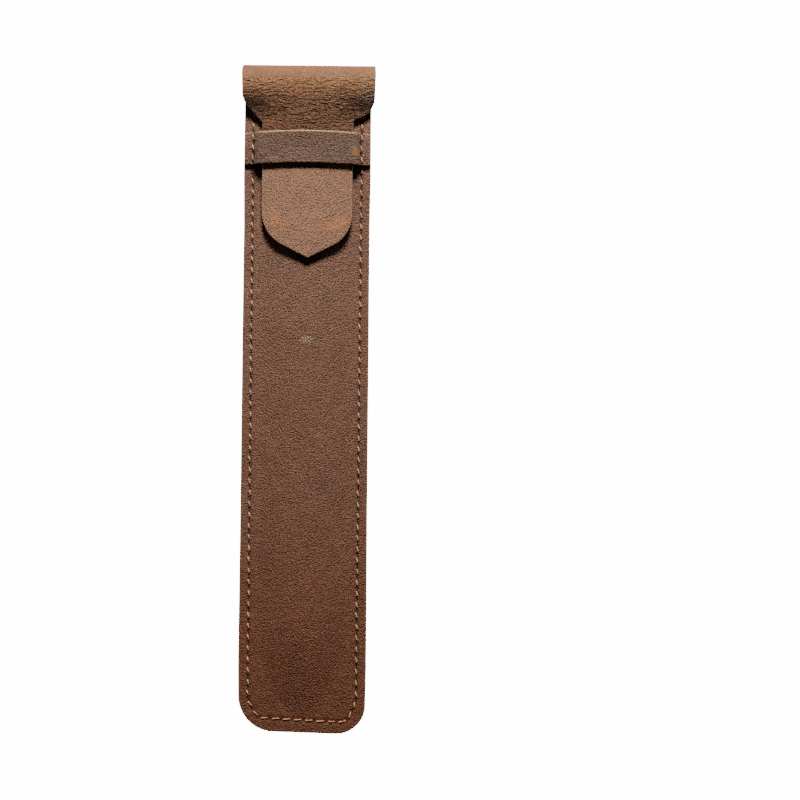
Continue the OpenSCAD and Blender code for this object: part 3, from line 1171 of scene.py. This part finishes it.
def wrinkle_crests(x, s):
    """Short level wrinkles over the folded flap: -1 in their valleys to 1 on their crests."""
    lean = s + 0.5 * layered_noise(x / 6, s / 8, 81)
    ridge = 1 - 2.4 * np.abs(layered_noise(x / 2.9 + 5, lean / 1.25, 83, 2))
    return np.clip(ridge, -1, 1) * wrinkled(s) * (0.7 + 0.5 * layered_noise(x / 6, s / 4, 87))


def wrinkled(s):
    """How creased the flap is: smooth over the fold, and smooth again on the tongue."""
    return smooth(flat_y(1.8), flat_y(5), s) * smooth(flat_y(21), flat_y(16), s)


def hide_relief(x, s):
    """The hide's grain side: sewn as far as the mouth, and wrinkled on the flap."""
    sewn = np.where(s < MOUTH, sewn_dent(x, np.minimum(s, MOUTH)), 0)
    pebbled = PEBBLE_HEIGHT * layered_noise(x / 1.1, s / 1.1, 91)
    return sewn + shape().wrinkle * wrinkle_crests(x, s) + pebbled


def front_relief(x, y):
    """The grain side of the front panel and the strap."""
    return sewn_dent(x, y) + PEBBLE_HEIGHT * layered_noise(x / 1.1, y / 1.1, 93)


def strap_outline():
    """The strap's band, bowed a little towards the fold where it passes over the tongue."""
    xs = np.linspace(-HALF_BODY, HALF_BODY, 97)
    bow = STRAP_BOW * (1 - (xs / HALF_BODY) ** 2)
    low = [(x, STRAP_LOW[1] - 0.75 + b, 0) for x, b in zip(xs, bow)]
    high = [(x, STRAP_HIGH[1] - 0.85 + b, 0) for x, b in zip(xs, bow)][::-1]
    ends = {0: 0.8, len(low) - 1: 0.8, len(low): 0.8, len(low) + len(high) - 1: 0.8}
    corners = [(x, y, ends.get(i, 0)) for i, (x, y, _) in enumerate(low + high)]
    kept = [c for i, c in enumerate(corners) if i in ends or abs(abs(c[0]) - HALF_BODY) > 0.9]
    return rounded(kept, 0.3)


def strap_top(x, y):
    """The strap lies on the sewn margins and arches over the tongue."""
    held = np.clip(x, -HALF_TONGUE, HALF_TONGUE)
    over = flap_middle(held, y) + 1.5 * LEATHER + STRAP_GAP
    low = front_top(x, y) + LEATHER + STRAP_REST
    raised = smooth(HALF_TONGUE + STRAP_DOWN_TO, HALF_TONGUE + STRAP_DOWN_FROM, np.abs(x))
    return low + (over - low) * raised


class PENCASE_OT_hide(bpy.types.Operator):
    """Make the back piece with its fold, shoulders and pointed tongue"""
    bl_idname = "pencase.hide"
    bl_label = "Back, fold and flap"

    def execute(self, context):
        parts = len(BENDS)
        lines = [FOLD_Y + FOLD_R * FOLD_TURN * k for k in range(parts + 1)]
        cut = Cut(hide_outline(), [
            (BOTTOM, BOTTOM + 10, 0.45, 0.45), (BOTTOM + 10, FOLD_Y - 8, 0.62, 0.9),
            (FOLD_Y - 8, lines[0], 0.45, 0.6), (lines[0], lines[-1], 0.32, 0.6),
            (lines[-1], flat_y(19), 0.28, 0.42), (flat_y(19), flat_y(60), 0.46, 0.5)],
            lines)

        def fray(x, s):
            shoulders = bump(flat_y(12), 7, s) * smooth(11, 13, np.abs(x))
            return 0.2 + 0.6 * shoulders + 0.35 * smooth(BOTTOM + 6, BOTTOM, s)

        # Where the painted highlight lies: on the wrinkle crests
        def crests(x, s):
            return smooth(0.35, 0.95, wrinkle_crests(x, s))

        def calm(s):
            stretched = 0.75 * bump(flat_y(-2.5), 8, s)
            rubbed = 0.2 * smooth(flat_y(18), flat_y(24), s)
            return np.maximum(stretched, rubbed) + 0.4 * wrinkled(s) * (1 - stretched)

        whole = finished("hide", cut, place_hide, hide_relief, hide_tint, fray, crests, calm)
        tongue = flat_y(TOP - TONGUE_LOW[1])
        material = leather_material(
            "Waxed leather, hide", creased=True, grain=0.37, pore_depth=0.55,
            patches=[
                (7.8, tongue - 8.6, 4.6, 1.6, 0.35, 0.7), (-8.2, tongue - 9.6, 2.2, 2.8, 0.2, 0.4),
                (-8.2, tongue - 6.2, 3.4, 0.8, 0.55, 0.35)],
            scars=[(15.3, flat_y(7.5), 2.6, 3.4, 0, 0.25)],
            scratches=[(2.8, tongue - 10.4, 2.4, 1.4, 3.0, 0.5)])
        flat = np.empty(len(whole.vertices) * 3, np.float32)
        whole.attributes["flat"].data.foreach_get("vector", flat)
        along = flat.reshape(-1, 3)[:, 1]
        middle = np.array([along[list(p.vertices)].mean() for p in whole.polygons])
        limits = [-1e9] + lines + [1e9]
        names = ["back_piece"] + [f"fold_{k + 1}_piece" for k in range(parts)] + ["flap_piece"]
        bodies = [BENDS[0]["parent"]] + [j["child"] for j in BENDS]
        for i, name in enumerate(names):
            pick = (middle > limits[i]) & (middle < limits[i + 1])
            piece = add_piece(name, split_mesh(whole, name, pick), material)
            if i == 0:
                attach(piece, bodies[0])
                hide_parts("back_panel")
            elif i > parts:
                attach(piece, bodies[-1])
                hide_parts("flap_shoulders", "flap_tongue")
            else:
                inner = FOLD_R - LEATHER / 2
                ends = []
                for turn in (FOLD_TURN * (i - 1), FOLD_TURN * i):
                    y, z = FOLD_Y + inner * math.sin(turn), FOLD_Z - inner * math.cos(turn)
                    ends.append((0, y * MM, z * MM))
                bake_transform(piece, bodies[i - 1], bodies[i], start=ends[0], end=ends[1])
                if i < parts:
                    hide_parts(f"fold_strip_{i}")
        return {"FINISHED"}


class PENCASE_OT_front(bpy.types.Operator):
    """Make the domed front panel of the pocket"""
    bl_idname = "pencase.front"
    bl_label = "Front panel"

    def execute(self, context):
        cut = Cut(front_outline(), [
            (BOTTOM - 1, BOTTOM + 10, 0.42, 0.42), (BOTTOM + 10, MOUTH, 0.5, 0.75)])

        def fray(x, y):
            return 0.3 + 0.45 * smooth(BOTTOM + 6, BOTTOM, y) + 0.3 * smooth(MOUTH - 2, MOUTH, y)

        mesh = finished("front_piece", cut, place_top(front_top), front_relief, front_tint, fray)
        material = leather_material(
            "Waxed leather, front", grain=0.37, pore_depth=0.5,
            scars=[(0.4, 16.2, 2.1, 1.1, 0.0, 0.8)],
            scratches=[(-3.0, -17.3, 2.0, 1.0, 0.6, 0.45), (-5.2, -83.4, 4.0, 2.4, 0.9, 0.45)])
        piece = add_piece("front_piece", mesh, material)
        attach(piece, BENDS[0]["parent"])
        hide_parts("front_panel")
        return {"FINISHED"}


class PENCASE_OT_strap(bpy.types.Operator):
    """Make the keeper strap that the tongue tucks under"""
    bl_idname = "pencase.strap"
    bl_label = "Keeper strap"

    def execute(self, context):
        cut = Cut(strap_outline(), [(STRAP_LOW[1] - 2, STRAP_HIGH[1] + 2, 0.3, 0.36)])

        def fray(x, y):
            over = smooth(HALF_TONGUE + 0.9, HALF_TONGUE - 0.3, np.abs(x))
            return 0.25 + (0.25 + 0.5 * over) * smooth(STRAP_MIDDLE, STRAP_MIDDLE + 2, y)

        mesh = finished("strap_piece", cut, place_top(strap_top), front_relief, strap_tint, fray)
        material = leather_material(
            "Waxed leather, strap", grain=0.42, pore_depth=0.75,
            patches=[
                (13.2, STRAP_MIDDLE - 1.4, 1.8, 1.4, 0.3, 0.5),
                (-9.5, STRAP_MIDDLE - 3.4, 2.2, 0.6, 0, 0.3)])
        piece = add_piece("strap_piece", mesh, material)
        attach(piece, BENDS[0]["parent"])
        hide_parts("keeper_strap")
        return {"FINISHED"}


# ---------------------------------------------------------------- the stitches

# A stitch's part of the pitch, its rise and its dive in millimetres, its twist in radians, and
# how much the stitches differ in size
STITCH_SHARE = 0.56
STITCH_ARCH = 0.24
STITCH_DIVE = 0.6
STITCH_TWIST = 4.0
STITCH_SPREAD = 0.06
STITCH_SEED = 7
SLANT = 15
SEWN_DEPTH = 0.2


def stitch_tree():
    """Twisted three-ply stitches, one on each point, each arched and dived into its holes."""
    tree = bpy.data.node_groups.new("Saddle stitches", "GeometryNodeTree")
    numbers = ("Thread radius", "Length", "Arch", "Dive", "Twist", "Spread")
    tree.interface.new_socket("Geometry", in_out="INPUT", socket_type="NodeSocketGeometry")
    for label in numbers:
        tree.interface.new_socket(label, in_out="INPUT", socket_type="NodeSocketFloat")
    tree.interface.new_socket("Seed", in_out="INPUT", socket_type="NodeSocketInt")
    tree.interface.new_socket("Material", in_out="INPUT", socket_type="NodeSocketMaterial")
    tree.interface.new_socket("Geometry", in_out="OUTPUT", socket_type="NodeSocketGeometry")
    given = tree.nodes.new("NodeGroupInput").outputs
    half = times(tree, given["Length"], 0.5)
    start = add(tree, "ShaderNodeCombineXYZ", {0: times(tree, half, -1.0)}).outputs[0]
    end = add(tree, "ShaderNodeCombineXYZ", {0: half}).outputs[0]
    line = add(tree, "GeometryNodeCurvePrimitiveLine", {"Start": start, "End": end}).outputs[0]
    line = add(tree, "GeometryNodeResampleCurve", {"Curve": line, "Count": 9}).outputs[0]
    along = add(tree, "GeometryNodeSplineParameter").outputs["Factor"]
    away = absolute(tree, minus(tree, times(tree, along, 2.0), 1.0))
    dip = times(tree, maths(tree, "POWER", away, 3.5), given["Dive"])
    rise = minus(tree, given["Arch"], dip)
    lift = add(tree, "ShaderNodeCombineXYZ", {2: rise}).outputs[0]
    line = add(tree, "GeometryNodeSetPosition", {"Geometry": line, "Offset": lift}).outputs[0]
    tilt = times(tree, along, given["Twist"])
    line = add(tree, "GeometryNodeSetCurveTilt", {"Curve": line, "Tilt": tilt}).outputs[0]
    # The run falls to 0 at the stitch's ends, where the thread is given painted shade
    run = minus(tree, 1.0, away)
    line = add(tree, "GeometryNodeStoreNamedAttribute", {
        "Geometry": line, "Name": "run", "Value": run}, data_type="FLOAT", domain="POINT").outputs[0]
    inner = times(tree, given["Thread radius"], 0.68)
    ply = add(tree, "GeometryNodeCurveStar", {
        "Points": 3, "Inner Radius": inner, "Outer Radius": given["Thread radius"]}).outputs[0]
    stitch = add(tree, "GeometryNodeCurveToMesh", {
        "Curve": line, "Profile Curve": ply, "Fill Caps": True}).outputs[0]
    stitch = add(tree, "GeometryNodeSetShadeSmooth", {"Geometry": stitch}).outputs[0]
    turn, size = (add(tree, "GeometryNodeInputNamedAttribute", {"Name": name},
                      data_type="FLOAT_VECTOR").outputs[0] for name in ("turn", "size"))
    uneven = add(tree, "FunctionNodeRandomValue", {
        "Min": minus(tree, 1.0, given["Spread"]), "Max": plus(tree, 1.0, given["Spread"]),
        "Seed": given["Seed"]}, data_type="FLOAT")
    scale = add(tree, "ShaderNodeVectorMath", {
        0: size, "Scale": uneven.outputs[1]}, operation="SCALE").outputs[0]
    placed = add(tree, "GeometryNodeInstanceOnPoints", {
        "Points": given["Geometry"], "Instance": stitch, "Rotation": turn, "Scale": scale}).outputs[0]
    whole = add(tree, "GeometryNodeRealizeInstances", {"Geometry": placed}).outputs[0]
    whole = add(tree, "GeometryNodeSetMaterial", {
        "Geometry": whole, "Material": given["Material"]}).outputs[0]
    tree.nodes.new("NodeGroupOutput")
    tree.links.new(whole, tree.nodes[-1].inputs[0])
    return tree


def stitch_points(height, under):
    """Where each stitch lies, how it is turned and how long it is, on a face of the seam."""
    path = seam_path()
    lengths = seam_lengths(path)
    count = stitch_count()
    pitch = lengths[-1] / count
    chance = np.random.default_rng(17 if under else 13)
    middles = (np.arange(count) + 0.5) * pitch
    step = pitch * 0.3

    def at(length):
        return np.stack([np.interp(length, lengths, path[:, k]) for k in (0, 1)], -1)

    before, after = at(middles - step), at(middles + step)
    z_before, z_after = height(*before.T), height(*after.T)
    middle, ahead = (before + after) / 2, after - before
    z = height(*middle.T)
    low = bottom_share(np.arange(count) + 0.5, count)
    slant = np.radians(SLANT + chance.normal(0, 2.5, count)) * (1 - 0.6 * low)
    yaw = np.arctan2(ahead[:, 1], ahead[:, 0]) + slant
    climb = np.arctan2(z_after - z_before, np.hypot(*ahead.T))
    roll = np.full(count, math.pi if under else 0.0)
    size = np.stack([1 + 0.22 * low, np.ones(count), np.ones(count)], -1)
    places = np.stack([middle[:, 0], middle[:, 1], z], -1)
    places[:, :2] += chance.normal(0, 0.05, (count, 2))
    return places, np.stack([roll, -climb, yaw], -1), size


def sewn_top(x, y):
    """The height of the grain that the upper stitches lie on."""
    on_strap = np.abs(y - STRAP_MIDDLE + 0.5) < (STRAP_HIGH[1] - STRAP_LOW[1]) / 2
    return np.where(on_strap, strap_top(x, y), front_top(x, y)) - SEWN_DEPTH


def sewn_under(x, y):
    """The height of the back's grain that the lower stitches lie on."""
    return back_under(x, y) + SEWN_DEPTH


class PENCASE_OT_stitches(bpy.types.Operator):
    """Sew the seam round the pocket, on the front and on the back"""
    bl_idname = "pencase.stitches"
    bl_label = "Stitches"

    def execute(self, context):
        tree = stitch_tree()
        material = thread_material()
        sizes = shape()
        values = {"Thread radius": sizes.thread_r * MM, "Material": material,
                  "Length": sizes.stitch_pitch * STITCH_SHARE * MM, "Arch": STITCH_ARCH * MM,
                  "Dive": STITCH_DIVE * MM, "Twist": STITCH_TWIST, "Spread": STITCH_SPREAD,
                  "Seed": STITCH_SEED}
        for name, height, under, node in (
                ("needle_stitches", sewn_top, False, "needle_thread"),
                ("bobbin_stitches", sewn_under, True, "bobbin_thread")):
            places, turns, scales = stitch_points(height, under)
            seeds = bpy.data.meshes.new(name + "_points")
            seeds.from_pydata((places * MM).tolist(), [], [])
            write_attributes(seeds, {"turn": turns, "size": scales})
            carrier = bpy.data.objects.new(name + "_points", seeds)
            context.scene.collection.objects.link(carrier)
            sewing = carrier.modifiers.new("Sewing", "NODES")
            sewing.node_group = tree
            for item in tree.interface.items_tree:
                if item.in_out == "INPUT" and item.name in values:
                    sewing[item.identifier] = values[item.name]
            ready = carrier.evaluated_get(context.evaluated_depsgraph_get())
            mesh = bpy.data.meshes.new_from_object(ready)
            if not mesh.polygons:
                raise RuntimeError("the stitches came out empty")
            if not outward(mesh):
                mesh.flip_normals()
            bpy.data.objects.remove(carrier)
            piece = add_piece(name, mesh, material)
            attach(piece, BENDS[0]["parent"])
            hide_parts(node)
        return {"FINISHED"}


# ---------------------------------------------------------------- the stage

# In metres, degrees and watts
CARD_HALF = 4
CARD_DROP = 2e-5
CARD_GREY = (0.6, 0.6, 0.6, 1)
CARD_GLOW = 15.0
SKY_STRENGTH = 0.012
LIGHTS = {"key": ((0.05, 0.9, 0.76), 0.25, 27), "overhead": ((0, 0.1, 2.3), 1.6, 1.0)}
CAMERA_PLACE = (0.0256, 0.0002, 1.6)
CAMERA_ROLL = 0.62
CAMERA_LENS = 266.7


def card_material():
    """White card that stays evenly white behind the case and lends it little light."""
    material, tree = empty_material("White card")
    card = add(tree, "ShaderNodeBsdfDiffuse", {"Color": CARD_GREY}).outputs[0]
    bright = add(tree, "ShaderNodeEmission", {"Color": (1, 1, 1, 1), "Strength": CARD_GLOW}).outputs[0]
    seen = add(tree, "ShaderNodeLightPath").outputs["Is Camera Ray"]
    both = add(tree, "ShaderNodeMixShader", {0: seen, 1: card, 2: bright}).outputs[0]
    add(tree, "ShaderNodeOutputMaterial", {0: both})
    return material


def area_light(name, place, size, energy):
    """A square light aimed at the case."""
    light = bpy.data.lights.new(name, "AREA")
    light.shape = "SQUARE"
    light.size = size
    light.energy = energy
    lamp = bpy.data.objects.new(name, light)
    lamp.location = place
    lamp.rotation_euler = (-Vector(place)).to_track_quat("-Z", "Y").to_euler()
    bpy.context.scene.collection.objects.link(lamp)


class PENCASE_OT_stage(bpy.types.Operator):
    """Lay the case on white card under soft light, with the camera straight above"""
    bl_idname = "pencase.stage"
    bl_label = "Card, light and camera"

    def execute(self, context):
        scene = context.scene
        mesh = bpy.data.meshes.new("card")
        corners = [(-1, -1), (1, -1), (1, 1), (-1, 1)]
        mesh.from_pydata([(CARD_HALF * x, CARD_HALF * y, -CARD_DROP) for x, y in corners], [], [(0, 1, 2, 3)])
        mesh.materials.append(card_material())
        card = bpy.data.objects.new("card", mesh)
        scene.collection.objects.link(card)
        world = bpy.data.worlds.new("Soft room")
        world.use_nodes = True
        sky = world.node_tree.nodes["Background"]
        sky.inputs["Color"].default_value = (1, 1, 1, 1)
        sky.inputs["Strength"].default_value = SKY_STRENGTH
        scene.world = world
        for name, (place, size, energy) in LIGHTS.items():
            area_light(name, place, size, energy)
        view = bpy.data.cameras.new("above")
        view.sensor_width = 36
        view.lens = CAMERA_LENS
        view.clip_start = 0.01
        camera = bpy.data.objects.new("above", view)
        camera.location = CAMERA_PLACE
        camera.rotation_euler = (0, 0, math.radians(CAMERA_ROLL))
        scene.collection.objects.link(camera)
        scene.camera = camera
        return {"FINISHED"}


class PENCASE_PT_panel(bpy.types.Panel):
    """Buttons and settings of the pen case"""
    bl_idname = "PENCASE_PT_panel"
    bl_label = "Pen case"
    bl_space_type = "VIEW_3D"
    bl_region_type = "UI"
    bl_category = "Pen case"

    def draw(self, context):
        for operator in OPERATORS:
            self.layout.operator(operator.bl_idname)
        for group in (context.scene.pencase_shape, context.scene.pencase_finish):
            box = self.layout.box()
            for name in group.bl_rna.properties.keys():
                if name not in ("rna_type", "name"):
                    box.prop(group, name)


OPERATORS = (PENCASE_OT_hide, PENCASE_OT_front, PENCASE_OT_strap, PENCASE_OT_stitches, PENCASE_OT_stage)
CLASSES = (PENCASE_PG_shape, PENCASE_PG_finish) + OPERATORS + (PENCASE_PT_panel,)


def register():
    for made in CLASSES:
        bpy.utils.register_class(made)
    bpy.types.Scene.pencase_shape = bpy.props.PointerProperty(type=PENCASE_PG_shape)
    bpy.types.Scene.pencase_finish = bpy.props.PointerProperty(type=PENCASE_PG_finish)


def unregister():
    del bpy.types.Scene.pencase_finish
    del bpy.types.Scene.pencase_shape
    for made in reversed(CLASSES):
        bpy.utils.unregister_class(made)


def main():
    register()
    bpy.ops.pencase.hide()
    bpy.ops.pencase.front()
    bpy.ops.pencase.strap()
    bpy.ops.pencase.stitches()
    bpy.ops.pencase.stage()
    bpy.context.view_layer.update()


if __name__ == "__main__":
    main()
